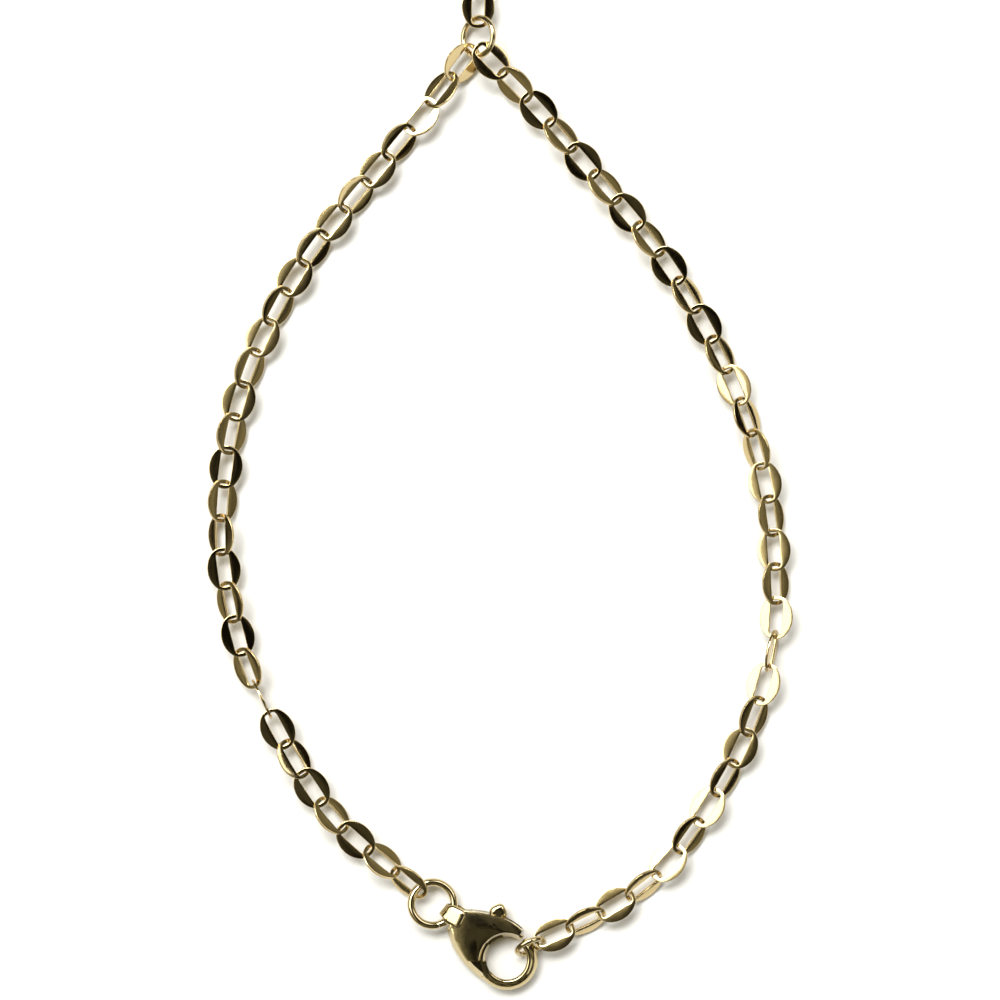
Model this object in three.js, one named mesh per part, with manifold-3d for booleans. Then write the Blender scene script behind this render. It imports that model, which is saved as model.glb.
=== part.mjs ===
// A hand chain in gold-tone brass. A wrist loop of flat oval links closes with a lobster clasp, a
// connector strand runs along the back of the hand, and a finger loop ends it. The chain lies on a
// flat surface: X runs across the hand, Y from the wrist to the finger, and Z up. Millimetres.
import * as THREE from "three";
import { mergeVertices } from "three/addons/utils/BufferGeometryUtils.js";
import Module from "manifold-3d";

const wasm = await Module();
wasm.setup();

// ---------------------------------------------------------------- driving dimensions

// One link: a flat oval with two wide polished sides, a straight slot and two narrow end bars.
const LINK = { length: 3.46, width: 2.65, slot: 0.95, endBar: 0.43, thickness: 0.34 };

// Plain wire rings: centre line radius across, along, and the wire's own radius.
const JUNCTION_RING = { radius: 1.51, wire: 0.24 };
const JUMP_RING = { radius: 1.7, wire: 0.31 };
const END_RING = { radius: 1.13, wire: 0.22 };
const FINGER_RING = { radius: 1.51, wire: 0.24 };
const RING_SIDES = 14;
const WIRE_SIDES = 6;

// The lobster clasp, in its own frame: x from the bail to the claw, y towards the lever's knob.
const CLASP = {
  thickness: 2.1, // over the two cheeks
  hookThickness: 1,
  clawCentre: 6.05, // from the bail's end of the frame
  clawRadius: 2.4,
  holeRadius: 1.62,
  noseAngle: 86, // where the hook ends, from the x axis
  cheekAngle: 112, // where the cheeks end
  bailCentre: 0.4,
  bailRadius: 0.9,
  bailHole: 0.55,
  bailWidth: 1,
  pivotX: 3.6,
  pivotY: 1.62,
  pinRadius: 0.24,
  leverThickness: 0.86,
  play: 0.06, // the gap around what moves or is riveted
};
const CLASP_TURN = -38.7; // degrees, from the x axis
const CLASP_PLACE = { x: -2.45, y: -69.05, z: 0.06 };

// The routes of the strands: the centres of some links, joined by a smooth curve. The origin is
// near the middle of the junction ring. Height z is that of the links' centres above the surface.
const REST = 1.14;
const STEEP_REST = 1.25; // where a link stands steeply
const EDGE_REST = 1.34; // where a link stands on its edge
const LEFT_ROUTE = [
  { x: -1.28, y: -1.97, z: 0.9 },
  { x: -4.4, y: -6.05, z: REST },
  { x: -7.74, y: -10.11, z: REST },
  { x: -14.14, y: -18.33, z: REST },
  { x: -18.68, y: -27.89, z: REST },
  { x: -20.3, y: -38.51, z: REST },
  { x: -19.12, y: -46.69, z: REST },
  { x: -17.1, y: -52.2, z: EDGE_REST },
  { x: -11.79, y: -61.19, z: REST },
  { x: -5.49, y: -66.74, z: 1.17 },
];
const RIGHT_ROUTE = [
  { x: 1.02, y: -1.93, z: 1.72 },
  { x: 4.54, y: -5.5, z: 1.3 },
  { x: 8.14, y: -9.64, z: REST },
  { x: 14.96, y: -17.93, z: REST },
  { x: 20.11, y: -27.26, z: REST },
  { x: 22.75, y: -35.6, z: STEEP_REST },
  { x: 23.49, y: -43.1, z: REST },
  { x: 23.2, y: -48.4, z: EDGE_REST },
  { x: 20.6, y: -56.4, z: REST },
  { x: 15.22, y: -64.94, z: REST },
  { x: 10.4, y: -68.75, z: REST },
  { x: 6.02, y: -70.84, z: REST },
];
const CONNECTOR_ROUTE = [
  { x: 0, y: 2.4, z: 1.4 },
  { x: 0.35, y: 23, z: REST },
  { x: -0.25, y: 45, z: REST },
  { x: 0, y: 66.72, z: STEEP_REST },
];
// The finger loop is a circle above its ring, open over some degrees, with a leg down on each side.
const FINGER_LOOP = { radius: 8.3, rise: 9.7, opening: 80, arcs: 8, legX: 2.13, legY: 1.23 };

// The rings' middles, and how they are turned: first about x, then y, then z, in degrees.
const JUNCTION_PLACE = { x: 0, y: 0, z: 1.4 };
const JUNCTION_TURN = { x: 0, y: -39, z: 0 };
const JUMP_PLACE = { x: -3.6, y: -68.44, z: 1.15 };
const JUMP_TURN = { x: 10, y: 0, z: 135.8 };
const END_PLACE = { x: 4.13, y: -71.8, z: 1.17 };
const END_TURN = { x: 62, y: 0, z: 25 };
const FINGER_RING_PLACE = { x: 0, y: 69.22, z: STEEP_REST };
const FINGER_RING_TURN = { x: 0, y: 0, z: 0 };

// How each strand's links are turned about the chain's own direction, in degrees. They alternate
// between flat and steep, starting with a flat one at the link `from`; a row of `others` gives a
// link that lies another way.
const FLAT = 0;
const STEEP = -53;
const LEFT_LINKS = {
  count: 29,
  stretches: [{ from: 1 }],
  others: [
    { link: 1, turn: -26 },
    { link: 2, turn: 46 },
    { link: 15, turn: 22 },
    { link: 16, turn: -24 },
    { link: 17, turn: 46 },
    { link: 18, turn: 0 },
    { link: 19, turn: 48 },
    { link: 20, turn: 0 },
    { link: 21, turn: 44 },
    { link: 22, turn: 88 },
    { link: 29, turn: 56 },
  ],
};
const RIGHT_LINKS = {
  count: 32,
  stretches: [{ from: 1 }, { from: 16 }],
  others: [
    { link: 1, turn: -26 },
    { link: 2, turn: 46 },
    { link: 15, turn: 60 },
    { link: 21, turn: -80 },
  ],
};
const CONNECTOR_LINKS = {
  count: 25,
  stretches: [{ from: 1 }],
  others: [
    { link: 1, turn: 20 },
    { link: 25, turn: 62 },
  ],
};
const FINGER_LINKS = {
  count: 19,
  stretches: [{ from: 2 }],
  others: [
    { link: 1, turn: 62 },
    { link: 19, turn: 62 },
  ],
};

// ---------------------------------------------------------------- helpers

const metal = (color, roughness) =>
  new THREE.MeshStandardMaterial({ color, metalness: 1, roughness });
const polished = metal(0xd9b46a, 0.12);
const wireGold = metal(0xe0bd76, 0.18);
const castGold = metal(0xc9a45c, 0.22);

const radians = THREE.MathUtils.degToRad;

// A geometry as a solid for joining and cutting.
function solid(geometry) {
  const bare = geometry.clone();
  bare.deleteAttribute("normal");
  bare.deleteAttribute("uv");
  const merged = mergeVertices(bare, 1e-5);
  const vertProperties = new Float32Array(merged.attributes.position.array);
  const triVerts = new Uint32Array(merged.index.array);
  return new wasm.Manifold(new wasm.Mesh({ numProp: 3, vertProperties, triVerts }));
}

// A solid back as a geometry with flat faces.
function geometryOf(body) {
  const mesh = body.getMesh();
  const geometry = new THREE.BufferGeometry();
  geometry.setAttribute("position", new THREE.BufferAttribute(mesh.vertProperties, 3));
  geometry.setIndex(new THREE.BufferAttribute(mesh.triVerts, 1));
  const faceted = geometry.toNonIndexed();
  faceted.computeVertexNormals();
  return faceted;
}

// A closed band: one section after another round a ring, each a list of points.
function bandGeometry(sections) {
  const positions = sections.flat().flatMap((point) => point.toArray());
  const size = sections[0].length;
  const index = [];
  sections.forEach((section, i) => {
    const here = i * size;
    const next = ((i + 1) % sections.length) * size;
    for (let j = 0; j < size; j += 1) {
      const k = (j + 1) % size;
      index.push(here + j, here + k, next + k, here + j, next + k, next + j);
    }
  });
  const geometry = new THREE.BufferGeometry();
  geometry.setAttribute("position", new THREE.Float32BufferAttribute(positions, 3));
  geometry.setIndex(index);
  return geometry;
}

// ---------------------------------------------------------------- one link

// The link's outline has ten stations: the two corners of each end bar, and three along each side.
// Its wire has five sides: flat above, below and inside, and a blunt ridge outside.
function linkGeometry() {
  const end = LINK.length / 2;
  const side = LINK.width / 2;
  const half = LINK.thickness / 2;
  const slot = LINK.slot / 2;
  const slotEnd = end - LINK.endBar;
  const chamfer = 0.07;
  const shoulder = 0.66 * end;
  const quarter = [
    { inner: [slotEnd, 0.74 * slot], outer: [end, 0.3 * side] },
    { inner: [0.9 * slotEnd, slot], outer: [shoulder, 0.76 * side] },
  ];
  const mirror = (sx, sy) => (station) => ({
    inner: [sx * station.inner[0], sy * station.inner[1]],
    outer: [sx * station.outer[0], sy * station.outer[1]],
  });
  const middle = { inner: [0, slot], outer: [0, side] };
  const stations = [
    ...quarter.map(mirror(1, 1)),
    middle,
    ...quarter.map(mirror(-1, 1)).reverse(),
    ...quarter.map(mirror(-1, -1)),
    mirror(1, -1)(middle),
    ...quarter.map(mirror(1, -1)).reverse(),
  ];
  const sections = stations.map(({ inner, outer }) => {
    const rim = new THREE.Vector2(...outer);
    const edge = rim.clone().multiplyScalar(1 - chamfer / rim.length());
    return [
      new THREE.Vector3(inner[0], inner[1], half),
      new THREE.Vector3(edge.x, edge.y, half),
      new THREE.Vector3(rim.x, rim.y, 0),
      new THREE.Vector3(edge.x, edge.y, -half),
      new THREE.Vector3(inner[0], inner[1], -half),
    ];
  });
  return bandGeometry(sections);
}

// ---------------------------------------------------------------- strands of links

function turnOf(links, number) {
  const row = links.others.find(({ link }) => link === number);
  if (row) return row.turn;
  const stretch = links.stretches.findLast(({ from }) => from <= number);
  return (number - stretch.from) % 2 === 0 ? FLAT : STEEP;
}

// Where one link goes: its length along the chain, turned about that direction.
function linkMatrix(centre, along, turn) {
  const x = along.clone().normalize();
  const across = new THREE.Vector3(0, 0, 1).cross(x).normalize();
  const up = x.clone().cross(across);
  const frame = new THREE.Matrix4().makeBasis(x, across, up);
  frame.multiply(new THREE.Matrix4().makeRotationX(radians(turn)));
  return frame.setPosition(centre);
}

// Joins the links into one body: each end bar bites a little into the bar that it hangs on.
function strandGeometry(curve, links) {
  const link = linkGeometry();
  const centres = curve.getSpacedPoints(links.count - 1);
  const bodies = centres.map((centre, i) => {
    const before = centres[Math.max(i - 1, 0)];
    const after = centres[Math.min(i + 1, links.count - 1)];
    const along = after.clone().sub(before);
    return solid(link.clone().applyMatrix4(linkMatrix(centre, along, turnOf(links, i + 1))));
  });
  return geometryOf(bodies.reduce((strand, body) => strand.add(body)));
}

const routeCurve = (rows) =>
  new THREE.CatmullRomCurve3(
    rows.map(({ x, y, z }) => new THREE.Vector3(x, y, z)),
    false,
    "catmullrom",
    0.5,
  );

function mesh(name, geometry, material) {
  const made = new THREE.Mesh(geometry, material);
  made.name = name;
  return made;
}

const strand = (name, curve, links) => mesh(name, strandGeometry(curve, links), polished);

// ---------------------------------------------------------------- rings

function ring(name, size, place, turns) {
  const geometry = new THREE.TorusGeometry(size.radius, size.wire, WIRE_SIDES, RING_SIDES);
  const made = mesh(name, geometry, wireGold);
  made.position.set(place.x, place.y, place.z);
  made.rotation.set(radians(turns.x), radians(turns.y), radians(turns.z), "ZYX");
  return made;
}

// ---------------------------------------------------------------- lobster clasp

// An outline drawn up to a height, with its upper and lower edges rounded off by `round`.
function plate(shape, low, high, round = 0, segments = 1, curveSegments = 7) {
  const geometry = new THREE.ExtrudeGeometry(shape, {
    depth: high - low - 2 * round,
    curveSegments,
    bevelEnabled: round > 0,
    bevelThickness: round,
    bevelSize: round,
    bevelOffset: -round,
    bevelSegments: segments,
  });
  return geometry.translate(0, 0, low + round);
}

const polar = (radius, degrees) => [
  CLASP.clawCentre + radius * Math.cos(radians(degrees)),
  radius * Math.sin(radians(degrees)),
];

const disc = (x, y, radius) => new THREE.Shape().absarc(x, y, radius, 0, 2 * Math.PI);
const outline = (...points) => new THREE.Shape(points.map(([x, y]) => new THREE.Vector2(x, y)));

// The clasp seen from above: a neck at the bail that widens to the round claw.
function teardrop() {
  const neck = { x: 0.85, y: 0.52 };
  const belly = { x: 2.6, y: 2 }; // what the sides curve out towards
  const tangent = 114;
  const [x, y] = polar(CLASP.clawRadius, tangent);
  const shape = new THREE.Shape();
  shape.moveTo(neck.x, -neck.y);
  shape.quadraticCurveTo(belly.x, -belly.y, x, -y);
  shape.absarc(CLASP.clawCentre, 0, CLASP.clawRadius, radians(-tangent), radians(tangent));
  shape.quadraticCurveTo(belly.x, belly.y, neck.x, neck.y);
  shape.closePath();
  return shape;
}

// Where the lever lies and swings, open towards its knob and towards the claw's hole.
const leverRoom = () =>
  outline([2.95, 0.95], [3.45, 0.35], [5, -0.3], [6.05, 0], polar(3.4, CLASP.noseAngle), [2.4, 3.4]);

// Two cheeks hold the lever's pin, the hook runs round to its nose, and the bail is cast on.
function claspBody() {
  const middle = CLASP.thickness / 2;
  const around = (height) => [middle - height / 2, middle + height / 2];
  const through = [-1, CLASP.thickness + 1];

  const bare = outline(
    [CLASP.clawCentre, 0],
    polar(6, 215),
    polar(6, 270),
    polar(6, 330),
    polar(6, 30),
    polar(6, CLASP.cheekAngle),
  );
  const cheeks = solid(plate(teardrop(), 0, CLASP.thickness, 0.36, 2))
    .subtract(solid(plate(disc(CLASP.clawCentre, 0, CLASP.holeRadius + 0.33), ...through)))
    .subtract(solid(plate(bare, ...through)))
    .subtract(solid(plate(leverRoom(), ...around(CLASP.leverThickness + 2 * CLASP.play))));

  const hook = solid(plate(teardrop(), ...around(CLASP.hookThickness), 0.3, 2))
    .subtract(solid(plate(disc(CLASP.clawCentre, 0, CLASP.holeRadius), ...through)))
    .subtract(solid(plate(leverRoom(), ...through)));

  const eye = disc(0, 0, CLASP.bailRadius);
  eye.holes.push(new THREE.Path().absarc(0, 0, CLASP.bailHole, 0, 2 * Math.PI));
  const width = CLASP.bailWidth / 2;
  const bail = plate(eye, -width, width, 0.12).rotateX(Math.PI / 2);
  bail.translate(CLASP.bailCentre, 0, middle);

  const bore = plate(disc(0, 0, CLASP.bailHole), -2, 2).rotateX(Math.PI / 2);
  bore.translate(CLASP.bailCentre, 0, middle);
  const pinRoom = plate(disc(CLASP.pivotX, CLASP.pivotY, CLASP.pinRadius + CLASP.play), ...through);
  const body = cheeks.add(hook).add(solid(bail)).subtract(solid(bore)).subtract(solid(pinRoom));
  return geometryOf(body);
}

// The lever: a root on the pin, an arm that closes the claw, and a knob for the thumbnail.
function claspLever() {
  const shape = new THREE.Shape();
  const arm = { inner: 1.74, outer: 2.3, tip: CLASP.noseAngle + 7, heel: 126 };
  shape.absarc(CLASP.clawCentre, 0, arm.outer, radians(arm.tip), radians(arm.heel));
  shape.lineTo(3.9, 2.2);
  shape.lineTo(3.82, 2.85);
  shape.lineTo(3.55, 3.12);
  shape.lineTo(3.22, 3.05);
  shape.lineTo(2.92, 2.3);
  shape.lineTo(3.06, 1.6);
  shape.lineTo(3.25, 1.2);
  shape.lineTo(3.65, 1.06);
  shape.lineTo(4.3, 1.06);
  shape.lineTo(...polar(arm.inner, 140));
  shape.absarc(CLASP.clawCentre, 0, arm.inner, radians(138), radians(arm.tip), true);
  shape.closePath();
  const hole = new THREE.Path();
  hole.absarc(CLASP.pivotX, CLASP.pivotY, CLASP.pinRadius + CLASP.play, 0, 2 * Math.PI);
  shape.holes.push(hole);
  const half = CLASP.leverThickness / 2;
  return plate(shape, CLASP.thickness / 2 - half, CLASP.thickness / 2 + half, 0.08, 1, 4);
}

function leverPin() {
  const length = CLASP.thickness - 0.04;
  const pin = new THREE.CylinderGeometry(CLASP.pinRadius, CLASP.pinRadius, length, 12);
  return pin.rotateX(Math.PI / 2).translate(CLASP.pivotX, CLASP.pivotY, CLASP.thickness / 2);
}

// ---------------------------------------------------------------- the hand chain

// The finger loop: two short legs from its ring that widen into a circle.
function fingerCurve() {
  const { radius, rise, opening, arcs, legX, legY } = FINGER_LOOP;
  const at = (x, y, z = REST) => new THREE.Vector3(x, FINGER_RING_PLACE.y + y, z);
  const sweep = 360 - opening;
  const round = Array.from({ length: arcs + 1 }, (_, i) => {
    const angle = radians(-90 + opening / 2 + (sweep * i) / arcs);
    return at(radius * Math.cos(angle), rise + radius * Math.sin(angle));
  });
  const points = [at(legX, legY, STEEP_REST), ...round, at(-legX, legY, STEEP_REST)];
  return new THREE.CatmullRomCurve3(points, false, "catmullrom", 0.5);
}

const clasp = new THREE.Group();
clasp.add(
  mesh("clasp_body", claspBody(), castGold),
  mesh("clasp_lever", claspLever(), castGold),
  mesh("lever_pin", leverPin(), castGold),
);
clasp.position.set(CLASP_PLACE.x, CLASP_PLACE.y, CLASP_PLACE.z);
clasp.rotation.z = radians(CLASP_TURN);

const handChain = new THREE.Group();
handChain.add(
  strand("wrist_chain_left", routeCurve(LEFT_ROUTE), LEFT_LINKS),
  strand("wrist_chain_right", routeCurve(RIGHT_ROUTE), RIGHT_LINKS),
  strand("connector_chain", routeCurve(CONNECTOR_ROUTE), CONNECTOR_LINKS),
  strand("finger_chain", fingerCurve(), FINGER_LINKS),
  ring("junction_ring", JUNCTION_RING, JUNCTION_PLACE, JUNCTION_TURN),
  ring("jump_ring", JUMP_RING, JUMP_PLACE, JUMP_TURN),
  ring("end_ring", END_RING, END_PLACE, END_TURN),
  ring("finger_ring", FINGER_RING, FINGER_RING_PLACE, FINGER_RING_TURN),
  clasp,
);

// The origin is in the middle of the chain's outer box, on the surface that it lies on.
const box = new THREE.Box3().setFromObject(handChain, true);
handChain.position.set(-(box.min.x + box.max.x) / 2, -(box.min.y + box.max.y) / 2, -box.min.z);

export default handChain;
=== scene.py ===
# %% [markdown]
# # A hand chain
#
# A hand chain is a wrist loop, a strand along the back of the hand and a loop for one finger. All its
# strands are the same chain of flat oval links, whose sides were pressed flat and polished like small
# mirrors. Plain wire rings join the strands, and a lobster clasp closes the wrist loop.
#
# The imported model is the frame. It has every piece in its real place and size, but its links have ten
# corners and its clasp has flat facets. Here each piece is made again with the rounding of the real one.

# %% The frame
import math

import bpy
import numpy as np
from mathutils import Matrix, Vector


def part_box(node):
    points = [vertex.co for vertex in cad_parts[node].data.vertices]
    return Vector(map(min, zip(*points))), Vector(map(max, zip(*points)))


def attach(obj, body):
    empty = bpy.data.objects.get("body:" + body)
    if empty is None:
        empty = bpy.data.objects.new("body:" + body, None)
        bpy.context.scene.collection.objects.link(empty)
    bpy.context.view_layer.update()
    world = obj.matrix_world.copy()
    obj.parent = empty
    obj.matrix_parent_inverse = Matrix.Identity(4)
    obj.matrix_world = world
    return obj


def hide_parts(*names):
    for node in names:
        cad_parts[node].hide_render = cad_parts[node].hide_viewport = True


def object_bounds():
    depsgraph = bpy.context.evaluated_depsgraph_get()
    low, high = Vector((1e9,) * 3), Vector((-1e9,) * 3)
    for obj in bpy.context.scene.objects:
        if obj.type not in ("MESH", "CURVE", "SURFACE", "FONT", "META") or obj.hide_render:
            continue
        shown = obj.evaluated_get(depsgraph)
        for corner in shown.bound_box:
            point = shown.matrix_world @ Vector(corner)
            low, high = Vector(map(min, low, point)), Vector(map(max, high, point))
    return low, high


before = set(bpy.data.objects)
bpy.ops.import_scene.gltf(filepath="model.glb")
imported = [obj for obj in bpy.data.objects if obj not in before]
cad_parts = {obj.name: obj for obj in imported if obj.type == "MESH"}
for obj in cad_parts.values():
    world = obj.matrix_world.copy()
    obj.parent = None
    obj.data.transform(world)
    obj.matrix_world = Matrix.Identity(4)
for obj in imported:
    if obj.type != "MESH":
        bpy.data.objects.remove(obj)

MM = 0.001
cad_box = [list(corner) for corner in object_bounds()]
print("frame:", len(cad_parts), "pieces, box in mm",
      [[round(v / MM, 1) for v in corner] for corner in cad_box])

# %% [markdown]
# ## From the drawing to the frame
#
# The solids were drawn from the middle of the junction ring, in millimetres, and then moved so that the
# outer box is centred. The finger ring lies flat and square to the axes, so the middle of its box says
# exactly how far everything was moved. All that follows is in millimetres from the junction ring.

# %% The drawing's origin
RING_TO_RING = 69.22  # from the junction ring to the finger ring
low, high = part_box("finger_ring")
middle = (low + high) / 2
ORIGIN = Vector((middle.x, middle.y - RING_TO_RING * MM, min(c[2] for c in cad_box)))
LOWEST = 0.0079  # the drawing's lowest point lies this far above its zero


def to_frame(x, y, z=0.0):
    """A point of the drawing, in millimetres, as a place in the frame, in metres."""
    return ORIGIN + Vector((x, y, z - LOWEST)) * MM


print("origin of the drawing, mm:", [round(v / MM, 3) for v in ORIGIN])

# %% [markdown]
# ## Small helpers
#
# The operators act on everything that is selected, so each step starts with nothing selected. Every
# piece ends with its place in its mesh, and its object unturned at the origin, as the frame's own
# pieces have it.


# %% Selecting, naming and placing a piece
def only(*objs):
    """Selects these objects alone, and makes the first one active."""
    bpy.ops.object.select_all(action="DESELECT")
    for o in objs:
        o.select_set(True)
    bpy.context.view_layer.objects.active = objs[0]


def new_piece(name):
    """The object that an operator has just made, with its name."""
    o = bpy.context.object
    o.name = o.data.name = name
    only(o)
    return o


def settle(o, matrix=None):
    """Puts a piece in place and moves that place into its mesh."""
    if matrix is not None:
        o.matrix_world = matrix
        bpy.context.view_layer.update()
    only(o)
    bpy.ops.object.transform_apply(location=True, rotation=True, scale=True)
    return o


# %% Normals and shading
MERGE_DISTANCE = 1e-7  # in metres: points closer than this are the same point


def outward(o):
    """Merges doubles, then points every face outwards."""
    only(o)
    bpy.ops.object.mode_set(mode="EDIT")
    bpy.ops.mesh.select_all(action="SELECT")
    bpy.ops.mesh.remove_doubles(threshold=MERGE_DISTANCE)
    bpy.ops.mesh.normals_make_consistent(inside=False)
    bpy.ops.object.mode_set(mode="OBJECT")
    return o


# Edges that turn by more than so many degrees stay sharp: none at all, on wire, and on a casting.
ALL_ROUND, WIRE_EDGE, CAST_EDGE = 180, 40, 30


def smooth(o, angle):
    """Shades a piece smoothly, but for the edges that turn by more than an angle in degrees."""
    only(o)
    bpy.ops.object.shade_smooth_by_angle(angle=math.radians(angle))
    return o


# %% [markdown]
# ## Gold-tone brass
#
# The chain is brass under a thin plating of yellow gold. The links' flats were rolled and then tumbled
# with steel shot, so they are near mirrors with the faintest waviness. The wire of the rings is drawn,
# which leaves it more even. The clasp is cast and polished by hand, so it is a little softer. All three
# are bare metal: the colour is in the reflection, and there is no coat over it. One plated metal with
# three surfaces is made by one function, which takes the colour, the gloss and the waviness.


# %% Colours and nodes
def srgb(code):
    """An sRGB hex colour as linear RGBA."""
    values = [int(code[i:i + 2], 16) / 255 for i in (1, 3, 5)]
    linear = [v / 12.92 if v <= 0.04045 else ((v + 0.055) / 1.055) ** 2.4 for v in values]
    return (*linear, 1.0)


def add(tree, kind, links=(), **settings):
    """Adds a node. Settings are its properties or its inputs; links are (input, output socket)."""
    node = tree.nodes.new(kind)
    for key, value in settings.items():
        if hasattr(node, key):
            setattr(node, key, value)
        else:
            node.inputs[key.replace("_", " ")].default_value = value
    for socket, source in links:
        tree.links.new(source, node.inputs[socket])
    return node


# %% Plated brass
DRIFT_MM = 3  # over how far the colour drifts
COMMON_NOISE = 0.35, 0.75  # the values that most of a noise lies between
GLOSS_SPREAD = 0.7, 1.6  # the glossiest and the dullest places, as shares of the roughness


def plated_brass(name, color, shade, roughness, wave, wave_mm, grain_mm):
    """Polished gold plating on brass, with its colour and the shade that it drifts to.

    Wave is how high its waviness stands, wave_mm how broad it is, and grain_mm the size of its marks."""
    m = bpy.data.materials.new(name)
    m.use_nodes = True
    tree = m.node_tree
    tree.nodes.clear()
    place = add(tree, "ShaderNodeTexCoord").outputs["Object"]
    # Plating is thinner in some places than in others, so its colour drifts over a few millimetres.
    drift = add(tree, "ShaderNodeTexNoise", [("Vector", place)], Scale=1 / (DRIFT_MM * MM), Detail=3.0)
    tint = add(tree, "ShaderNodeMixRGB", [("Fac", drift.outputs["Fac"])],
               Color1=srgb(color), Color2=srgb(shade))
    # The fine marks of tumbling and wear: real ones are some 0.02 mm wide, drawn coarser to show.
    marks = add(tree, "ShaderNodeTexNoise", [("Vector", place)], Scale=1 / (grain_mm * MM), Detail=4.0)
    gloss = add(tree, "ShaderNodeMapRange", [("Value", marks.outputs["Fac"])],
                From_Min=COMMON_NOISE[0], From_Max=COMMON_NOISE[1],
                To_Min=roughness * GLOSS_SPREAD[0], To_Max=roughness * GLOSS_SPREAD[1])
    swell = add(tree, "ShaderNodeTexNoise", [("Vector", place)], Scale=1 / (wave_mm * MM), Detail=1.0)
    bumps = add(tree, "ShaderNodeBump", [("Height", swell.outputs["Fac"])],
                Strength=1.0, Distance=wave * MM)
    shader = add(tree, "ShaderNodeBsdfPrincipled",
                 [("Base Color", tint.outputs["Color"]), ("Roughness", gloss.outputs["Result"]),
                  ("Normal", bumps.outputs["Normal"])], Metallic=1.0)
    add(tree, "ShaderNodeOutputMaterial", [("Surface", shader.outputs["BSDF"])])
    return m


LINK_GOLD = plated_brass("link_gold_tumbled_plated_brass", "#ddc99a", "#c8b182",
                         roughness=0.08, wave=0.006, wave_mm=1.0, grain_mm=0.12)
WIRE_GOLD = plated_brass("wire_gold_drawn_plated_brass", "#dccba0", "#c9b58a",
                         roughness=0.09, wave=0.003, wave_mm=0.8, grain_mm=0.10)
CAST_GOLD = plated_brass("cast_gold_hand_polished_brass", "#d8c698", "#bfae80",
                         roughness=0.11, wave=0.005, wave_mm=0.6, grain_mm=0.09)
print("metals:", [metal.name for metal in (LINK_GOLD, WIRE_GOLD, CAST_GOLD)])

# %% [markdown]
# ## One link
#
# A link starts as a ring of round wire. A press flattens its two long sides into thin mirrors that are
# widest in the middle, and leaves the two ends as wire for the next link to hang on. From above it is
# a lens: two arcs outside, a straight slot inside.
#
# It could be cut from a plate with booleans, but a torus already has the right faces, one loop round the
# link and one round the wire. So a torus is added and its points are moved: its big circle is drawn out
# to the lens and the slot, and its small circle is squared where the press acted.

# %% The link's sizes, in millimetres
LINK_LENGTH = 3.5  # before its corners are rounded, which takes 0.05 off
LINK_WIDTH = 2.65
SLOT_WIDTH = 1.0
END_BAR = 0.37  # the same rounding leaves 0.34 of it
SIDE_THICKNESS = 0.24
END_THICKNESS = 0.23
SHOULDER = 0.28  # the end's width, as a share of the link's width
BLANK_RADIUS, BLANK_WIRE = 1.0, 0.25  # the torus before it is pressed
FADE_START, FADE_LENGTH = 0.60, 0.27  # where towards its ends the press fades, as shares of the link
OUTLINE_CORNERS, SLOT_CORNERS = 14, 7  # how tight the corners are
END_SQUARENESS, EXTRA_SQUARENESS = 5, 6.6  # of the wire's section: at the ends, and what the press adds
DOME = 0.16  # how much thinner a flat side gets towards its outer edge
TINY = 1e-6  # keeps a division by a sine or a cosine from failing


def lens_radius(angle):
    """How far the link's outline is from its middle: two arcs, closed by a short straight end."""
    end, side = LINK_LENGTH / 2, LINK_WIDTH / 2
    rise = side * (1 - SHOULDER)
    arc_radius = (rise ** 2 + end ** 2) / (2 * rise)
    offset = arc_radius - side
    s, c = abs(math.sin(angle)), abs(math.cos(angle))
    to_arc = math.sqrt(arc_radius ** 2 - (offset * c) ** 2) - offset * s
    to_end = end / max(c, TINY)
    return (to_arc ** -OUTLINE_CORNERS + to_end ** -OUTLINE_CORNERS) ** (-1 / OUTLINE_CORNERS)


def slot_radius(angle):
    """The same for the slot: straight sides and tight round corners."""
    s, c = abs(math.sin(angle)), abs(math.cos(angle))
    to_side = SLOT_WIDTH / 2 / max(s, TINY)
    to_end = (LINK_LENGTH / 2 - END_BAR) / max(c, TINY)
    return (to_side ** -SLOT_CORNERS + to_end ** -SLOT_CORNERS) ** (-1 / SLOT_CORNERS)


def rounded(value, power):
    """A step of a squared circle: 2 leaves it round, and more squares it."""
    return math.copysign(abs(value) ** (2 / power), value)


# %% Pressing the link
def make_link():
    """A torus whose points are moved to where the press would leave them."""
    bpy.ops.mesh.primitive_torus_add(major_segments=56, minor_segments=20,
                                     major_radius=BLANK_RADIUS * MM, minor_radius=BLANK_WIRE * MM)
    link = new_piece("link")
    for v in link.data.vertices:
        x, y, z = v.co / MM
        around = math.atan2(y, x)
        section = math.atan2(z, math.hypot(x, y) - BLANK_RADIUS)
        outer, inner = lens_radius(around), slot_radius(around)
        along = abs(math.cos(around)) * (outer + inner) / LINK_LENGTH
        t = min(1, max(0, (along - FADE_START) / FADE_LENGTH))
        pressed = 1 - t * t * (3 - 2 * t)  # 1 at the sides, 0 at the ends
        power = END_SQUARENESS + EXTRA_SQUARENESS * pressed
        thickness = END_THICKNESS + (SIDE_THICKNESS - END_THICKNESS) * pressed
        reach = (outer + inner) / 2 + (outer - inner) / 2 * rounded(math.cos(section), power)
        dome = 1 - DOME * pressed * (reach * math.sin(around) * 2 / LINK_WIDTH) ** 2
        v.co = Vector((reach * math.cos(around), reach * math.sin(around),
                       thickness / 2 * dome * rounded(math.sin(section), power))) * MM
    return smooth(outward(link), ALL_ROUND)


def triangles(o):
    """How many triangles a piece has."""
    return sum(len(p.vertices) - 2 for p in o.data.polygons)


LINK = make_link()
print("link:", triangles(LINK), "triangles, mm", [round(v / MM, 2) for v in LINK.dimensions])

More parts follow.
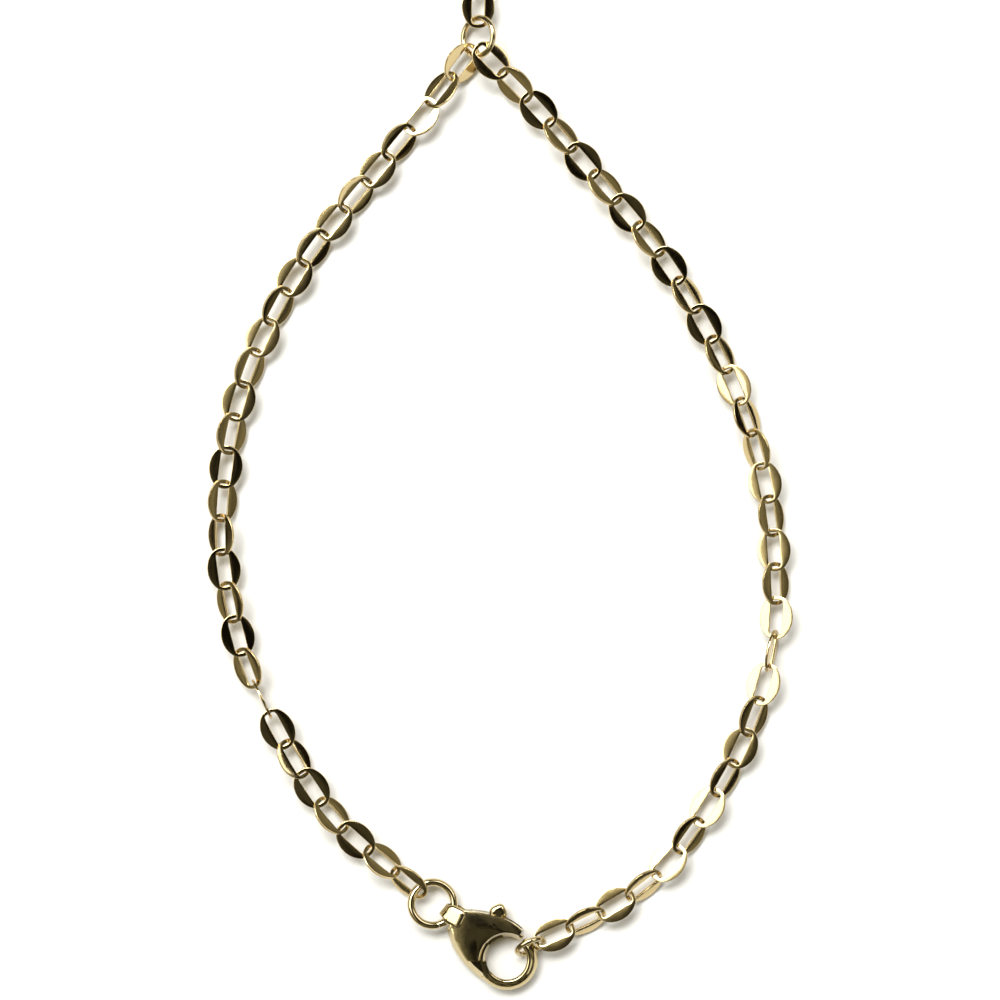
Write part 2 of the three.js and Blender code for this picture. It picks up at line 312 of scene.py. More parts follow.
# %% [markdown]
# ## The routes
#
# A strand lies where the hand that laid it down left it. Each route is a list of a few link centres, the
# same as in the solids, joined by a smooth curve, and the links sit at equal steps along it. Blender's
# own curves round their corners in another way, so the curve is worked out here: between two points it
# leaves in the direction from the point before to the point after.

# %% Points of the routes, in millimetres from the junction ring
REST, STEEP_REST, EDGE_REST = 1.14, 1.25, 1.34  # how high a link's middle lies, the more it leans
LEFT_ROUTE = [
    (-1.28, -1.97, 0.9), (-4.4, -6.05, REST), (-7.74, -10.11, REST), (-14.14, -18.33, REST),
    (-18.68, -27.89, REST), (-20.3, -38.51, REST), (-19.12, -46.69, REST),
    (-17.1, -52.2, EDGE_REST), (-11.79, -61.19, REST), (-5.49, -66.74, 1.17)]
RIGHT_ROUTE = [
    (1.02, -1.93, 1.72), (4.54, -5.5, 1.3), (8.14, -9.64, REST), (14.96, -17.93, REST),
    (20.11, -27.26, REST), (22.75, -35.6, STEEP_REST), (23.49, -43.1, REST),
    (23.2, -48.4, EDGE_REST), (20.6, -56.4, REST), (15.22, -64.94, REST), (10.4, -68.75, REST),
    (6.02, -70.84, REST)]
CONNECTOR_ROUTE = [(0, 2.4, 1.4), (0.35, 23, REST), (-0.25, 45, REST), (0, 66.72, STEEP_REST)]
# The finger loop's radius, how far its middle lies beyond the finger ring, and its open angle.
FINGER_RADIUS, FINGER_RISE, FINGER_OPENING = 8.3, 9.7, 80
FINGER_LEG = (2.13, 1.23)  # its first link, from the finger ring


def finger_route():
    """A circle above the finger ring, open at the bottom, with a leg down on each side."""
    steps = 8
    points = []
    for i in range(steps + 1):
        angle = math.radians(-90 + FINGER_OPENING / 2 + (360 - FINGER_OPENING) * i / steps)
        points.append((FINGER_RADIUS * math.cos(angle),
                       RING_TO_RING + FINGER_RISE + FINGER_RADIUS * math.sin(angle), REST))
    leg_x, leg_y = FINGER_LEG
    leg = (leg_x, RING_TO_RING + leg_y, STEEP_REST)
    return [leg, *points, (-leg_x, leg[1], STEEP_REST)]


# %% Equal steps along a smooth curve
def smooth_curve(points, fine=60):
    """Many close points along the curve through a route's points."""
    p = [Vector(point) for point in points]
    p = [2 * p[0] - p[1], *p, 2 * p[-1] - p[-2]]
    out = []
    for a, b, c, d in zip(p, p[1:], p[2:], p[3:]):
        leave, arrive = (c - a) / 2, (d - b) / 2
        for i in range(fine):
            t = i / fine
            out.append(b + leave * t + (3 * (c - b) - 2 * leave - arrive) * t ** 2
                       + (2 * (b - c) + leave + arrive) * t ** 3)
    return [*out, p[-2]]


def equal_steps(points, count):
    """The centres of a number of links, at equal distances along a route."""
    line = smooth_curve(points)
    run = np.concatenate([[0], np.cumsum([(b - a).length for a, b in zip(line, line[1:])])])
    wanted = np.linspace(0, run[-1], count)
    axes = [np.interp(wanted, run, [q[k] for q in line]) for k in range(3)]
    return [Vector(q) for q in zip(*axes)]


# %% [markdown]
# ## How each link lies
#
# Neighbours in such a chain lean opposite ways: one lies flat and the next leans on its side. Every
# link is a mirror, so a lean of a few degrees decides whether it shows the dark room, the floor or
# a lamp. Along a strand the links go flat, steep, flat. The tables name the links that lean otherwise,
# by their numbers, and each strand says at which links the pattern starts anew with a flat one.

# %% Leans, in degrees about the chain's own direction
STEEP = -38
UNEVEN, UNEVEN_STEP = 3, 2.4  # no two links lie quite alike: by how much, and how fast that changes
LEFT_LEANS = {1: -26, 2: 38, 3: 10.5, 5: 5, 7: 5, 9: 4, 11: 5, 13: 3, 16: -36, 17: 38, 18: -4,
              19: 38, 20: -5, 21: 38, 22: 84, 28: -38, 29: 40}
RIGHT_LEANS = {1: -10, 2: 38, 13: 17, 14: -42, 15: 47, 16: 12, 18: 12, 20: 17, 21: -70, 22: 17,
               23: -36, 24: 9, 26: 17.5, 28: 17.5, 29: -43, 30: 12, 31: -42, 32: 12.5}
CONNECTOR_LEANS = {1: 11, 25: 60}
FINGER_LEANS = {1: 60, 9: -50, 11: -50, 19: 60}


def lean(number, others, stretches):
    """The lean of a link: its own, or that of the pattern."""
    if number in others:
        return others[number]
    start = max(s for s in stretches if s <= number)
    uneven = UNEVEN * math.sin(UNEVEN_STEP * number)
    return uneven if (number - start) % 2 == 0 else STEEP + uneven


# %% One strand
def link_place(before, centre, after, turn):
    """The matrix of a link: its length along the chain, then leaned about that direction."""
    x = (after - before).normalized()
    across = Vector((0, 0, 1)).cross(x).normalized()
    axes = Matrix((x, across, x.cross(across))).transposed().to_4x4()
    return (Matrix.Translation(to_frame(*centre)) @ axes
            @ Matrix.Rotation(math.radians(turn), 4, "X"))


def copied(o):
    """A copy of an object with a mesh of its own."""
    copy = o.copy()
    copy.data = o.data.copy()
    bpy.context.scene.collection.objects.link(copy)
    return copy


def joined(name, parts):
    """Several pieces as one, with a name."""
    only(*parts)
    bpy.ops.object.join()
    return new_piece(name)


def strand(name, route, count, others, stretches):
    """One strand: a copy of the link at each place, joined into one piece."""
    centres = equal_steps(route, count)
    links = []
    for i, centre in enumerate(centres):
        before, after = centres[max(i - 1, 0)], centres[min(i + 1, count - 1)]
        place = link_place(before, centre, after, lean(i + 1, others, stretches))
        links.append(settle(copied(LINK), place))
    print(f"{name}: {count} links, {(centres[1] - centres[0]).length:.2f} mm apart")
    return joined(name, links)


# %% The four strands
def ready(o, body, slot_name, metal, *nodes):
    """Gives a finished piece its metal and its body, and hides the solids that it stands for."""
    o.data.materials.clear()
    o.data.materials.append(metal)
    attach(o, body)
    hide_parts(*nodes)
    print(f"{o.name}: {triangles(o)} triangles")


STRANDS = [  # name, the solid, the route, how many links, their leans, where the pattern starts
    ("left_links", "wrist_chain_left", LEFT_ROUTE, 29, LEFT_LEANS, (1,)),
    ("right_links", "wrist_chain_right", RIGHT_ROUTE, 32, RIGHT_LEANS, (1, 16)),
    ("connector_links", "connector_chain", CONNECTOR_ROUTE, 25, CONNECTOR_LEANS, (1,)),
    ("finger_links", "finger_chain", finger_route(), 19, FINGER_LEANS, (2,)),
]
for name, node, route, count, others, stretches in STRANDS:
    ready(strand(name, route, count, others, stretches), "chain", "link_gold", LINK_GOLD, node)
bpy.data.objects.remove(LINK)

# %% [markdown]
# ## The rings
#
# A jump ring is cut from a coil of drawn wire, opened sideways, threaded and closed again, so it always
# has a fine slit. A torus has none. Here a filled round section is spun almost all the way round. The
# section and the spin's last step close the two ends of the wire, which leaves the slit. The clasp's
# hook is made in the same way.


# %% Spinning a section
def disc(name, points, radius, location=(0, 0, 0)):
    """A filled circle that stands upright along the X axis."""
    bpy.ops.mesh.primitive_circle_add(vertices=points, radius=radius, fill_type="NGON",
                                      location=location, rotation=(math.pi / 2, 0, 0))
    return settle(new_piece(name))


def spun(o, steps, angle):
    """Spins a section about the Z axis, and keeps the section as the first end."""
    only(o)
    bpy.ops.object.mode_set(mode="EDIT")
    bpy.ops.mesh.select_all(action="SELECT")
    bpy.ops.mesh.duplicate()
    bpy.ops.mesh.spin(steps=steps, angle=angle, center=(0, 0, 0), axis=(0, 0, 1))
    bpy.ops.object.mode_set(mode="OBJECT")
    return o


# %% Rings of wire, in millimetres and degrees
RINGS = [  # name, radius, wire radius, middle, turned about x, y and z, where its slit is
    ("junction_ring", 1.51, 0.24, (0, 0, 1.4), (0, -39, 0), 236),
    ("jump_ring", 1.70, 0.31, (-3.6, -68.44, 1.15), (10, 0, 135.8), 150),
    ("end_ring", 1.13, 0.22, (4.13, -71.8, 1.17), (62, 0, 25), 250),
    ("finger_ring", 1.51, 0.24, (0, RING_TO_RING, STEEP_REST), (0, 0, 0), 0),
]
SLIT = 0.035  # its width
WIRE_POINTS, RING_STEPS = 28, 96  # round the wire, and round the ring


def wire_ring(name, radius, wire, place, turns, slit_at):
    """A ring of wire with a slit, in its place."""
    slit = SLIT / radius
    wire_end = disc(name + "_wire", WIRE_POINTS, wire * MM, (radius * MM, 0, 0))
    ring = smooth(outward(spun(wire_end, RING_STEPS, slit - 2 * math.pi)), WIRE_EDGE)
    about_x, about_y, about_z = (math.radians(t) for t in turns)
    return settle(ring, Matrix.Translation(to_frame(*place)) @ Matrix.Rotation(about_z, 4, "Z")
                  @ Matrix.Rotation(about_y, 4, "Y") @ Matrix.Rotation(about_x, 4, "X")
                  @ Matrix.Rotation(math.radians(slit_at) + slit / 2, 4, "Z"))


for name, radius, wire, place, turns, slit_at in RINGS:
    ready(wire_ring(name, radius, wire, place, turns, slit_at), "chain", "wire_gold", WIRE_GOLD, name)

# %% [markdown]
# ## The lobster clasp
#
# The clasp is cast in two parts. The body is a pillow-shaped pair of cheeks that narrows to the bail,
# with the round hook between them. The lever turns on a rivet in the cheeks: its arm closes the hook
# and its knob stands out for the thumbnail. A cast and hand-polished piece has no sharp edge, but for
# the hole that is drilled for the rivet.
#
# The pillow could be sculpted, but it is exactly the part that a drop-shaped outline and a flattened
# ball share, so those two are crossed with a boolean. The hook is a disc that is spun. The edges are
# rounded with a bevel, and the rivet's hole is bored after that.

# %% The clasp's sizes, in millimetres, from the bail towards the hook
CLASP_THICKNESS = 2.1
MIDDLE = CLASP_THICKNESS / 2
CLAW = Vector((6.05, 0, MIDDLE))
CLAW_RADIUS, HOLE_RADIUS = 2.4, 1.62
# Angles round the claw: the hook's nose, the cheeks' two ends, and where the spine becomes the hook.
NOSE_ANGLE, CHEEK_ANGLE, BACK_ANGLE, STEP_ANGLE = 86, 102, 219, 262
CHEEK_HOLE_RADII = 1.72, 2.24  # at the underside and at the top
CHEEK_HOLE_SHIFT = 0.16, -0.2  # how far its lower end lies from the claw's middle
LEVER_THICKNESS, PLAY = 0.86, 0.06
PIVOT, PIN_RADIUS, PIN_PLAY = Vector((3.6, 1.62, MIDDLE)), 0.24, 0.01
THROUGH = -1, 4  # from below the clasp to above it
BEYOND = 6  # a radius round the claw that takes in all of it
PAST = 0.01  # how far a tool reaches past what it cuts
CLASP_AT, CLASP_TURN = (-2.45, -69.05, 0.06), -38.7  # where its bail's end lies, and its turn about Z
CLASP_PLACE = (Matrix.Translation(to_frame(*CLASP_AT))
               @ Matrix.Rotation(math.radians(CLASP_TURN), 4, "Z"))
print("claw's middle, mm:", [round(v / MM, 2) for v in CLASP_PLACE @ (CLAW * MM)])


# %% Outlines round the claw
def polar(radius, degrees):
    """A point round the claw's middle."""
    a = math.radians(degrees)
    return (CLAW.x + radius * math.cos(a), CLAW.y + radius * math.sin(a))


def arc(radius, start, end, steps):
    """Points round the claw's middle, from one angle to another."""
    return [polar(radius, start + (end - start) * i / steps) for i in range(steps + 1)]


def circle(radius):
    """A whole circle round the claw's middle, in steps of four degrees."""
    return arc(radius, 0, 356, 89)


def open_side(start, end):
    """All that lies round the claw from one angle to another, past 0 degrees."""
    return [(CLAW.x, CLAW.y), *(polar(BEYOND, angle) for angle in (start, 270, 330, 30, end))]


def bow(a, control, b, steps=14):
    """Points of a quadratic curve, without its last."""
    a, control, b = (Vector(q) for q in (a, control, b))
    return [tuple(a.lerp(control, i / steps).lerp(control.lerp(b, i / steps), i / steps))
            for i in range(steps)]


def drop_outline(spread=0.0, claw=CLAW_RADIUS):
    """The clasp seen from above: a neck at the bail that widens to the round claw.

    Spread bulges its lower side outwards, and claw is the radius of its round end."""
    start = -114 + 60 * spread  # where its lower side meets the claw, in degrees
    return [*bow((0.75, -0.56 - spread), (2.6 + 0.8 * spread, -2 - 1.9 * spread), polar(claw, start)),
            *arc(claw, start, CHEEK_ANGLE, 60),
            *bow(polar(CLAW_RADIUS + 0.3, CHEEK_ANGLE), (3.33, 2.81), (0.7, 0.72)), (0.7, 0.72)]


# %% Plates, balls and cylinders
def plate(name, outline, low, high, top=None):
    """A plate with that outline, extruded from low to high, and perhaps another outline at the top."""
    bpy.ops.mesh.primitive_circle_add(vertices=len(outline), radius=MM, fill_type="NGON")
    o = new_piece(name)
    for v, (x, y) in zip(o.data.vertices, outline):
        v.co = Vector((x, y, low)) * MM
    bpy.ops.object.mode_set(mode="EDIT")
    bpy.ops.mesh.select_all(action="SELECT")
    bpy.ops.mesh.extrude_region_move(TRANSFORM_OT_translate={"value": (0, 0, (high - low) * MM)})
    bpy.ops.object.mode_set(mode="OBJECT")
    raised = [v for v in o.data.vertices if v.co.z > (low + high) / 2 * MM]
    for v, (x, y) in zip(raised, top or outline):
        v.co.x, v.co.y = x * MM, y * MM
    return outward(o)


def ball(name, centre, half_sizes, turn=0.0, power=2, tilt=0.0):
    """A ball with three half sizes. A power above 2 squares it; a tilt tips its top towards -X."""
    bpy.ops.mesh.primitive_uv_sphere_add(segments=64, ring_count=40, radius=1)
    o = new_piece(name)
    for v in o.data.vertices:
        v.co = v.co / sum(abs(c) ** power for c in v.co) ** (1 / power) * MM
    return settle(o, Matrix.Translation(Vector(centre) * MM)
                  @ Matrix.Rotation(math.radians(turn), 4, "Z")
                  @ Matrix.Rotation(math.radians(-tilt), 4, "Y")
                  @ Matrix.Diagonal((*half_sizes, 1)))


def cylinder(name, points, radius, depth, location=(0, 0, 0)):
    """A cylinder along Z, its sizes in millimetres."""
    bpy.ops.mesh.primitive_cylinder_add(vertices=points, radius=radius * MM, depth=depth * MM,
                                        location=location)
    return new_piece(name)


# %% Cutting, and rounding edges
def modify(o, kind, **settings):
    """Adds a modifier and applies it."""
    only(o)
    m = o.modifiers.new(kind.title(), kind)
    for key, value in settings.items():
        setattr(m, key, value)
    bpy.ops.object.modifier_apply(modifier=m.name)
    return o


def cut(o, tool, operation="DIFFERENCE"):
    """Cuts a tool's shape out of a piece, or keeps what they share, and removes the tool."""
    modify(o, "BOOLEAN", object=tool, operation=operation, solver="EXACT")
    bpy.data.objects.remove(tool)
    return o


def round_edges(o, width, segments=4):
    """Rounds the edges of a casting, by a width in millimetres."""
    modify(o, "BEVEL", width=width * MM, segments=segments, limit_method="ANGLE",
           angle_limit=math.radians(CAST_EDGE), use_clamp_overlap=True)
    return smooth(o, CAST_EDGE)


# %% [markdown]
# ### The cheeks
#
# The cheeks are the two outer walls of the body. They carry the rivet, and the lever moves between them.
# They could be modelled one by one, but then they might not match. So both are cut from one solid: it is
# crossed with the pillow, and then the claw's hole, the open side and the lever's room are cut out.

# %% The cheeks
PILLOW_MIDDLE, PILLOW_HALF = (5.0, 0, MIDDLE), (6.5, 3.8, 1.15)
LEVER_ROOM = [(2.95, 0.95), (3.45, 0.35), (5, -0.3), (6.05, 0), polar(3.4, NOSE_ANGLE), (2.4, 3.4)]
BODY_EDGE = 0.12  # how far the body's edges are rounded


def pillow():
    """The ball that gives the clasp its gently domed faces."""
    return ball("pillow", PILLOW_MIDDLE, PILLOW_HALF)


def rivet_hole():
    """The tool that bores the hole for the rivet."""
    return cylinder("rivet_hole", 48, PIN_RADIUS + PIN_PLAY, 4, PIVOT * MM)


cheeks = plate("cheeks", drop_outline(), 0, CLASP_THICKNESS)
cut(cheeks, pillow(), "INTERSECT")
shift_x, shift_y = CHEEK_HOLE_SHIFT
lower_hole = [(x + shift_x, y + shift_y) for x, y in circle(CHEEK_HOLE_RADII[0])]
cut(cheeks, plate("claw_hole", lower_hole, -PAST, CLASP_THICKNESS + PAST, circle(CHEEK_HOLE_RADII[1])))
cut(cheeks, plate("open_side", open_side(BACK_ANGLE, CHEEK_ANGLE), *THROUGH))
half_room = LEVER_THICKNESS / 2 + PLAY
cut(cheeks, plate("lever_room", LEVER_ROOM, MIDDLE - half_room, MIDDLE + half_room))
round_edges(cheeks, BODY_EDGE)
cut(cheeks, rivet_hole())
smooth(cheeks, CAST_EDGE)

# %% [markdown]
# ### The hook
#
# The hook is the bar round the claw's hole. It ends in a round nose, which the lever's arm meets when the
# clasp is closed. A curve with a round bevel would give an even bar, but this one was cast: its section
# is an oval whose lower part lies further out. So a disc is given that section and spun round the claw,
# and a ball as thick as the bar closes its end.

# %% The hook
HOOK_WIDTH, HOOK_THICKNESS = CLAW_RADIUS - HOLE_RADIUS, 1.04
HOOK_LINE = (CLAW_RADIUS + HOLE_RADIUS) / 2
DRAFT = 0.24  # how far a casting's sides slope outwards on their way down
# The hook starts 8 degrees inside the spine, and the middle of its round nose lies 8 before its tip.
HOOK_START, NOSE_MIDDLE = STEP_ANGLE - 8, NOSE_ANGLE - 8
HOOK_POINTS, HOOK_STEPS = 32, 72
hook = disc("hook", HOOK_POINTS, 1)
for v in hook.data.vertices:
    v.co.x = HOOK_LINE + HOOK_WIDTH / 2 * v.co.x - DRAFT * v.co.z
    v.co.z *= HOOK_THICKNESS / 2
    v.co *= MM
settle(hook, Matrix.Rotation(math.radians(HOOK_START), 4, "Z"))
spun(hook, HOOK_STEPS, math.radians(HOOK_START - (360 + NOSE_MIDDLE)))
settle(hook, Matrix.Translation(CLAW * MM))
smooth(outward(hook), WIRE_EDGE)
nose = smooth(ball("nose", (*polar(HOOK_LINE, NOSE_MIDDLE), MIDDLE),
                   (HOOK_WIDTH / 2, HOOK_WIDTH / 2, HOOK_THICKNESS / 2), NOSE_ANGLE), ALL_ROUND)

# %% [markdown]
# ### The spine
#
# The spine is the metal between the cheeks, from the bail to the hook, on the side away from the lever.
# Its outer side slopes, and so does the wall behind the claw's hole. Points could be moved by hand to
# slope it, but a lower outline and a narrower upper one say exactly how far the slope goes.

# %% The spine between the cheeks
SPINE_HALF = 0.5  # half its thickness
# Its side slopes: at its lower end it is wider than the cheeks, and at its top it is narrower.
SPINE_LOW = drop_outline(0.48, CLAW_RADIUS + 0.05)
SPINE_TOP = drop_outline(0, CLAW_RADIUS - 0.22)
WALL_TOP_RADIUS = CHEEK_HOLE_RADII[1] - 0.34  # of the sloping wall behind the claw's hole, at its top


def wall_fan(radius):
    """The part of the claw's hole that the sloping wall stands round."""
    return [(CLAW.x, 0), *arc(radius, 90, BACK_ANGLE + 3, 40)]


spine = plate("spine", SPINE_LOW, MIDDLE - SPINE_HALF, MIDDLE + SPINE_HALF, SPINE_TOP)
cut(spine, plate("claw_hole", circle(HOLE_RADIUS), *THROUGH))
cut(spine, plate("sloped_wall", wall_fan(HOLE_RADIUS), MIDDLE - SPINE_HALF - 2 * PAST,
                 MIDDLE + SPINE_HALF + 2 * PAST, wall_fan(WALL_TOP_RADIUS)))
cut(spine, plate("open_side", open_side(STEP_ANGLE, 90), *THROUGH))
cut(spine, plate("lever_room", LEVER_ROOM, *THROUGH))
round_edges(spine, BODY_EDGE)

# %% [markdown]
# ### The bail and the necks
#
# The bail is the short tube at the clasp's narrow end that the jump ring passes through. Two necks join
# it to the cheeks, one above and one below. Each could be a cube with a bevel, but a squared ball has
# flat sides and round corners at once. Then the bail's hole is bored through all that reaches into it.

# %% The bail, and the two necks that join it to the cheeks
BAIL = Vector((0.4, 0, MIDDLE))
BAIL_RADIUS, BAIL_HOLE, BAIL_WIDTH, BAIL_EDGE = 0.82, 0.58, 1.1, 0.15
BORE_PLAY = 0.1  # how much wider the bore through the body is than the bail's hole
NECK_X, NECK_Y, NECK_RISE, NECK_HALF = 0.68, 0.12, 0.52, (0.86, 0.8, 0.42)
NECK_TURN, NECK_SQUARENESS, NECK_TILT = 12, 3.8, 16
bail = cylinder("bail", 64, BAIL_RADIUS, BAIL_WIDTH)
cut(bail, cylinder("bail_hole", 64, BAIL_HOLE, 2 * BAIL_WIDTH))
upright = Matrix.Translation(BAIL * MM) @ Matrix.Rotation(math.pi / 2, 4, "X")
round_edges(settle(bail, upright), BAIL_EDGE, 5)
necks = [smooth(ball("neck", (NECK_X, NECK_Y, MIDDLE + side * NECK_RISE), NECK_HALF,
                     NECK_TURN, NECK_SQUARENESS, side * NECK_TILT), ALL_ROUND) for side in (1, -1)]
bore = settle(cylinder("bore", 64, BAIL_HOLE + BORE_PLAY, 2 * BAIL_WIDTH), upright)
for part in (cheeks, spine, *necks):
    cut(part, copied(bore))
bpy.data.objects.remove(bore)
body = joined("clasp_casting", [cheeks, hook, nose, spine, bail, *necks])
ready(settle(body, CLASP_PLACE), "chain", "cast_gold", CAST_GOLD, "clasp_body")

# %% [markdown]
# ### The lever
#
# The lever is cast as well: an arm that closes the gap in the claw, a heel round the rivet, and a knob
# for the thumbnail. It could be a bent bar, but it has flat faces, so it is a plate with an outline, as
# the spine is, and the knob is a squared ball. It rides on a body of its own, so that it can turn.

# %% The lever
ARM_OUTER, ARM_INNER = 2.3, (1.70, 2.05)  # the arm's radii: its inner side slopes from low to high
TIP = NOSE_ANGLE + 7  # the angle at which the arm ends, beside the hook's nose
HEEL, INNER_HEEL = 126, 138  # the angles at which its outer and its inner side reach the heel
LEVER_EDGE = 0.08
KNOB_X, KNOB_Y, KNOB_HALF, KNOB_TURN, KNOB_SQUARENESS = 3.2, 2.5, (0.62, 0.64, 0.44), -26, 3.2


def lever_outline(arm_inner):
    """The arm round the claw, and the heel that holds the rivet and the knob."""
    return [*arc(ARM_OUTER, TIP, HEEL, 12), (3.9, 2.2), (3.72, 2.4), (3.2, 2.6), (2.8, 2.5), (2.72, 2.2),
            (3.06, 1.6), (3.25, 1.2), (3.65, 1.06), (4.3, 1.06), *arc(arm_inner, INNER_HEEL, TIP, 16)]


half_lever = LEVER_THICKNESS / 2
low_outline, top_outline = (lever_outline(radius) for radius in ARM_INNER)
lever = plate("lever", low_outline, MIDDLE - half_lever, MIDDLE + half_lever, top_outline)
round_edges(lever, LEVER_EDGE)
cut(lever, rivet_hole())
smooth(lever, CAST_EDGE)
knob = smooth(ball("knob", (KNOB_X, KNOB_Y, MIDDLE), KNOB_HALF, KNOB_TURN, KNOB_SQUARENESS), ALL_ROUND)
lever = joined("clasp_thumb_lever", [lever, knob])
ready(settle(lever, CLASP_PLACE), "lever", "cast_gold", CAST_GOLD, "clasp_lever")

# %% [markdown]
# ### The rivet
#
# The rivet is a plain pin whose ends were filed flush with the cheeks. A cylinder of the right length
# would stick out or sink in where the cheeks are domed, so it is crossed with the same pillow.

# %% The rivet
RIVET_LENGTH = 2.04
rivet = settle(cylinder("clasp_rivet", 40, PIN_RADIUS, RIVET_LENGTH, PIVOT * MM))
cut(rivet, pillow(), "INTERSECT")
smooth(rivet, CAST_EDGE)
ready(settle(rivet, CLASP_PLACE), "chain", "cast_gold", CAST_GOLD, "lever_pin")

# %% [markdown]
# ## The table, the room and the lamps
#
# Polished metal shows its surroundings more than itself. From straight above, a flat link shows what is
# overhead: a dim room, so it looks almost black, with gold only on the edges that turn towards the pale
# table. A link that leans a little shows the ceiling that the left window lights, which makes it olive.
# One that leans more catches a window and flashes white. So the room is dark overhead, three soft lamps
# stand where windows would, to the left, at the back and to the right, and a weak one fills in from the
# front.

# %% The table top
TABLE_SIZE = 3  # in metres
TABLE_GAP = 0.01  # how far it lies below the lowest solid, in millimetres
bpy.ops.mesh.primitive_plane_add(size=TABLE_SIZE)
table = new_piece("table_top")
bpy.ops.object.mode_set(mode="EDIT")
bpy.ops.mesh.subdivide(number_cuts=8)
bpy.ops.object.mode_set(mode="OBJECT")
settle(table, Matrix.Translation((0, 0, -TABLE_GAP * MM)))
paper = bpy.data.materials.new("table_top_matt_white_board")
paper.use_nodes = True
shader = paper.node_tree.nodes["Principled BSDF"]
shader.inputs["Base Color"].default_value = srgb("#f4f4f2")
shader.inputs["Roughness"].default_value = 0.6
table.data.materials.append(paper)
print("table top:", TABLE_SIZE, "m wide")

# %% [markdown]
# ### The dim room
#
# A picture of a real room could be wrapped round the scene, but a few nodes are enough here, and each can
# be changed alone. A noise gives the walls dark and pale patches. Ramps over the height and over the
# direction of the left window give the ceiling its bright band. The camera itself sees a plain backdrop.

# %% An empty world, and the room's tones
world = bpy.data.worlds.new("dim_room")
bpy.context.scene.world = world
world.use_nodes = True
tree = world.node_tree
tree.nodes.clear()

WINDOW = (166, 50)  # the left window's azimuth and elevation
WALLS = (0.42, "#17100b"), (0.64, "#8c8870")  # dark and pale patches, by the value of a noise
# The left window lights a band of the ceiling: its tone at some heights, in degrees, on that side.
CEILING = ((84, "#000000"), (80, "#3a382b"), (76, "#8a8772"), (71, "#d8d5c4"), (50, "#d8d5c4"))
CEILING_EDGE = ((44, "#000000"), (50, "#ffffff"))  # and where that band ends, all round
# How much of its tone the room keeps at some heights: straight above the table it is darker.
OVERHEAD = ((0, "#ffffff"), (62, "#ffffff"), (76, "#8c8c8c"))


# %% Ramps and directions
def direction(azimuth, elevation):
    """The way to a place in the room: azimuth is from +X towards +Y."""
    a, e = math.radians(azimuth), math.radians(elevation)
    return Vector((math.cos(a) * math.cos(e), math.sin(a) * math.cos(e), math.sin(e)))


def ramp(value, stops):
    """Colours by value, between stops that go up: (position, hex colour)."""
    node = add(tree, "ShaderNodeValToRGB", [("Fac", value)])
    while len(node.color_ramp.elements) < len(stops):
        node.color_ramp.elements.new(0.5)
    for element, (position, color) in zip(node.color_ramp.elements, stops):
        element.position, element.color = position, srgb(color)
    return node.outputs["Color"]


def tones_by_height(heights, value, rising):
    """A ramp between some heights, in degrees: over the cosine, or over the sine if rising."""
    wave = math.sin if rising else math.cos
    return ramp(value, [(wave(math.radians(height)), color) for height, color in heights])


def mixed(kind, color, other):
    """Two colours multiplied or added."""
    return add(tree, "ShaderNodeMixRGB", [("Color1", color), ("Color2", other)],
               blend_type=kind, Fac=1.0).outputs["Color"]


def facing(way):
    """How directly a place in the room lies in a direction, from -1 to 1."""
    node = add(tree, "ShaderNodeVectorMath", [(0, toward)], operation="DOT_PRODUCT")
    node.inputs[1].default_value = way
    return node.outputs["Value"]


# %% Walls, ceiling and backdrop
toward = add(tree, "ShaderNodeTexCoord").outputs["Generated"]
patches = add(tree, "ShaderNodeTexNoise", [("Vector", toward)], Scale=5.0, Detail=1.5)
height = facing((0, 0, 1))
walls = mixed("MULTIPLY", ramp(patches.outputs["Fac"], WALLS), tones_by_height(OVERHEAD, height, True))
ceiling = mixed("MULTIPLY", tones_by_height(CEILING, facing(direction(WINDOW[0], 0)), False),
                tones_by_height(CEILING_EDGE, height, True))
room = mixed("ADD", walls, ceiling)
room_glow = add(tree, "ShaderNodeBackground", [("Color", room)], Strength=1.0).outputs[0]
backdrop = add(tree, "ShaderNodeBackground", Color=srgb("#f1f1ef"), Strength=1.0).outputs[0]
seen = add(tree, "ShaderNodeLightPath").outputs["Is Camera Ray"]
both = add(tree, "ShaderNodeMixShader", [(0, seen), (1, room_glow), (2, backdrop)]).outputs[0]
add(tree, "ShaderNodeOutputWorld", [("Surface", both)])
print("room:", len(tree.nodes), "nodes")

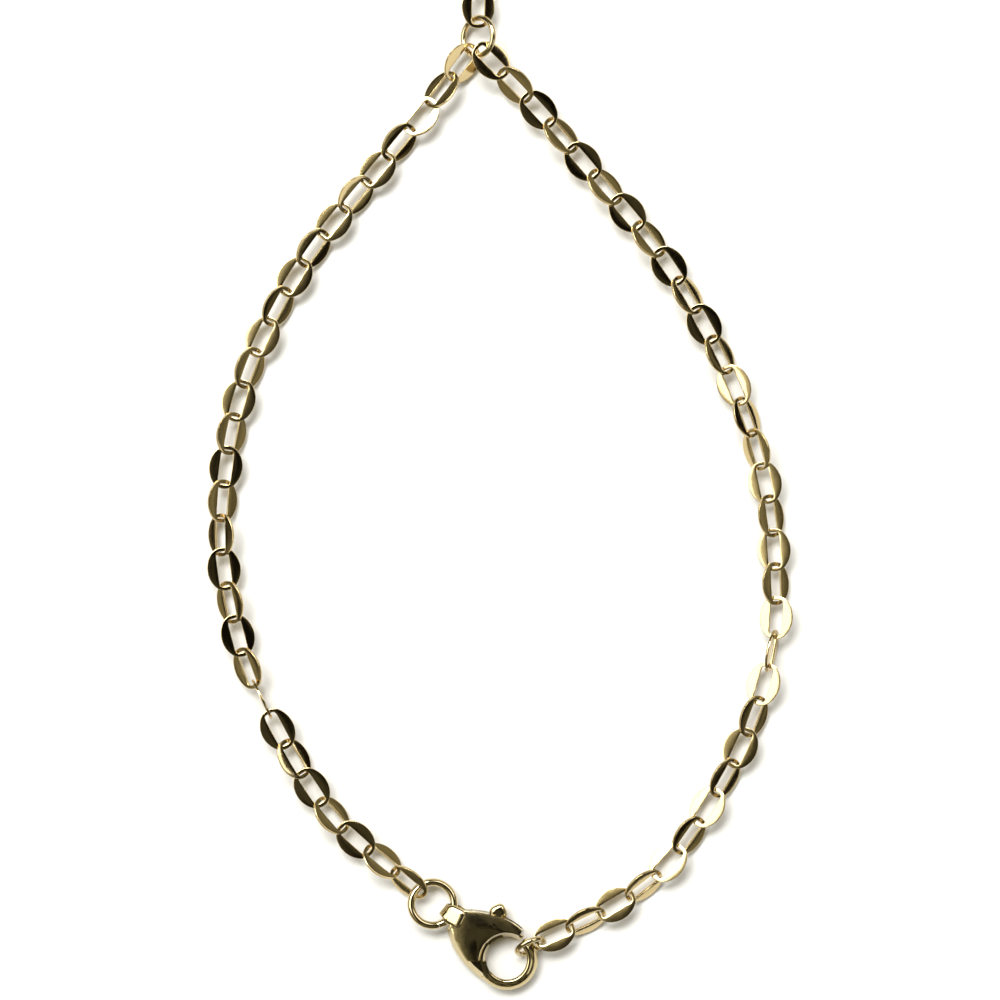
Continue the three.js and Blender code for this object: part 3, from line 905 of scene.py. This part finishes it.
# %% [markdown]
# ### The lamps
#
# A window is wide and soft, so each lamp is an area lamp, a metre away and turned towards the middle of
# the view. Its width and height decide at which leans a link shows it, and its watts how bright it is
# there. A sun lamp would light the table as well, but a mirror would show it only as a spark.

# %% The lamps
VIEW_CENTRE = Vector((0, -0.0432, 0))  # the middle of the view, over the wrist loop, in metres
LAMP_DISTANCE = 1.0


def lamp(name, azimuth, elevation, width, height, watts):
    """A soft white lamp that faces the middle of the view."""
    offset = direction(azimuth, elevation) * LAMP_DISTANCE
    bpy.ops.object.light_add(type="AREA", location=VIEW_CENTRE + offset)
    o = bpy.context.object
    o.name = o.data.name = name
    o.rotation_euler = offset.to_track_quat("Z", "Y").to_euler()
    o.data.shape = "RECTANGLE"
    o.data.size, o.data.size_y = width, height
    o.data.energy = watts
    print(f"{name}: {width} x {height} m, {watts} W")


# name, azimuth and elevation, width and height in metres, watts
lamp("back_window", 112, 58, 0.62, 0.34, 9.9)
lamp("left_window", *WINDOW, 0.70, 0.68, 3.7)
lamp("right_window", 45, 44, 0.70, 0.46, 2.3)
lamp("front_fill", 332, 40, 0.45, 0.4, 0.55)

# %% [markdown]
# ## The camera
#
# The camera looks straight down and takes in a square of 79 mm: the wrist loop, the clasp and the first
# link of the connector. A long lens keeps the view from widening towards its edges.

# %% Looking straight down
VIEW_SIZE = 79.0
LENS, SENSOR = 120.0, 36.0
bpy.ops.object.camera_add(location=VIEW_CENTRE + Vector((0, 0, VIEW_SIZE * LENS / SENSOR)) * MM
                          + Vector((0, 0, REST)) * MM)
camera = bpy.context.object
camera.data.lens, camera.data.sensor_width = LENS, SENSOR
camera.data.clip_start, camera.data.clip_end = 0.001, 20
bpy.context.scene.camera = camera
bpy.context.scene.view_settings.view_transform = "Standard"
print(f"camera: {LENS:.0f} mm lens, {camera.location.z / MM:.0f} mm above the table")

# %% [markdown]
# ## The sizes
#
# The outer box of the solids is printed. Each fine piece is about as large as the solid that it stands
# for.

# %% The sizes, and the end
print("CAD box, mm:", [[round(v / MM, 2) for v in corner] for corner in cad_box])
